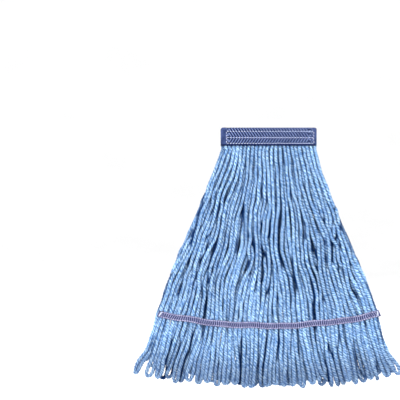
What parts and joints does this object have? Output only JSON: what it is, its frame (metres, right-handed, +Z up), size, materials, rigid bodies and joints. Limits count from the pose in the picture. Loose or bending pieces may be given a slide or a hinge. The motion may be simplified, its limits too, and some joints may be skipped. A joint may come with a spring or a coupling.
{
  "type": "string mop head",
  "caption": "Looped-end wet mop head: yarn folded into a stitched tape headband, hanging as front and back skirts with a sewn tail band across each",
  "frame": {"origin": "middle of the headband's top edge, where a mop handle's clamp holds it", "axes": "+Z up as it hangs, +X along the headband, the front skirt faces -Y"},
  "size_m": [0.4562, 0.0366, 0.449],
  "materials": {
    "yarn": "matt plied yarn",
    "headband_tape": "woven herringbone tape",
    "white_thread": "sewing thread",
    "tail_tape": "woven tape",
    "tail_thread": "sewing thread"
  },
  "bodies": {
    "headband": {"headband_tape": "headband_tape", "headband_top_seam": "white_thread", "headband_middle_seam": "white_thread", "headband_bottom_seam": "white_thread", "headband_left_seam": "white_thread", "headband_right_seam": "white_thread", "yarn_fold_inner": "yarn", "yarn_fold_middle": "yarn", "yarn_fold_outer": "yarn"},
    "front_skirt": {"front_strands_1": "yarn", "front_strands_2": "yarn", "front_strands_3": "yarn", "front_strands_4": "yarn", "front_strands_5": "yarn", "front_strands_6": "yarn", "front_tail_tape_outer": "tail_tape", "front_tail_tape_inner": "tail_tape", "front_tail_upper_seam": "tail_thread", "front_tail_lower_seam": "tail_thread", "front_tail_tacks": "white_thread"},
    "back_skirt": {"back_strands_1": "yarn", "back_strands_2": "yarn", "back_strands_3": "yarn", "back_strands_4": "yarn", "back_strands_5": "yarn", "back_strands_6": "yarn", "back_tail_tape_outer": "tail_tape", "back_tail_tape_inner": "tail_tape", "back_tail_upper_seam": "tail_thread", "back_tail_lower_seam": "tail_thread", "back_tail_tacks": "white_thread"},
    "front_fringe": {"front_loops_1": "yarn", "front_loops_2": "yarn", "front_loops_3": "yarn", "front_loops_4": "yarn", "front_loops_5": "yarn", "front_loops_6": "yarn"},
    "back_fringe": {"back_loops_1": "yarn", "back_loops_2": "yarn", "back_loops_3": "yarn", "back_loops_4": "yarn", "back_loops_5": "yarn", "back_loops_6": "yarn"}
  },
  "joints": [
    {"name": "front_skirt_swing", "type": "hinge", "parent": "headband", "child": "front_skirt", "pos_m": [0, -0.0058, -0.038], "axis": [-1, 0, 0], "range_deg": [0, 90]},
    {"name": "back_skirt_swing", "type": "hinge", "parent": "headband", "child": "back_skirt", "pos_m": [0, 0.0058, -0.038], "axis": [1, 0, 0], "range_deg": [0, 90]},
    {"name": "front_fringe_swing", "type": "hinge", "parent": "front_skirt", "child": "front_fringe", "pos_m": [0, -0.01098, -0.35396], "axis": [-1, 0, 0], "range_deg": [0, 90]},
    {"name": "back_fringe_swing", "type": "hinge", "parent": "back_skirt", "child": "back_fringe", "pos_m": [0, 0.01098, -0.35396], "axis": [1, 0, 0], "range_deg": [0, 90]}
  ]
}
